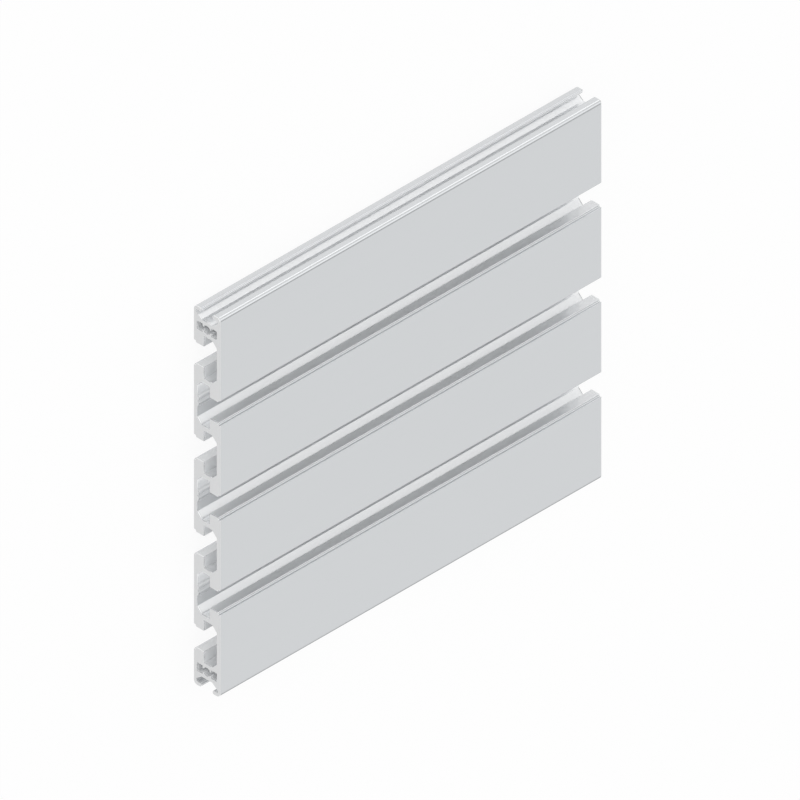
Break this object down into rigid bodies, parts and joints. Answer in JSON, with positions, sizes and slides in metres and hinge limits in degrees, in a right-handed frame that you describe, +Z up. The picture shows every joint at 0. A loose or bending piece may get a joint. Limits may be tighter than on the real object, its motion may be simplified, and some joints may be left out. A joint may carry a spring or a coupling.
{
  "type": "aluminium extrusion profile",
  "caption": "Flat aluminium extrusion with staggered T-slots in both faces, undercut grooves along its edges and screw channels in its cut ends.",
  "frame": {"origin": "centre of the back face, on the floor that the profile lies on", "axes": "+X along the extrusion, +Y across its width, +Z up out of the front face"},
  "size_m": [0.232, 0.2, 0.016],
  "materials": {
    "anodised_aluminium": "natural satin anodised"
  },
  "bodies": {
    "root": {"slotted_profile": "anodised_aluminium"}
  },
  "joints": []
}
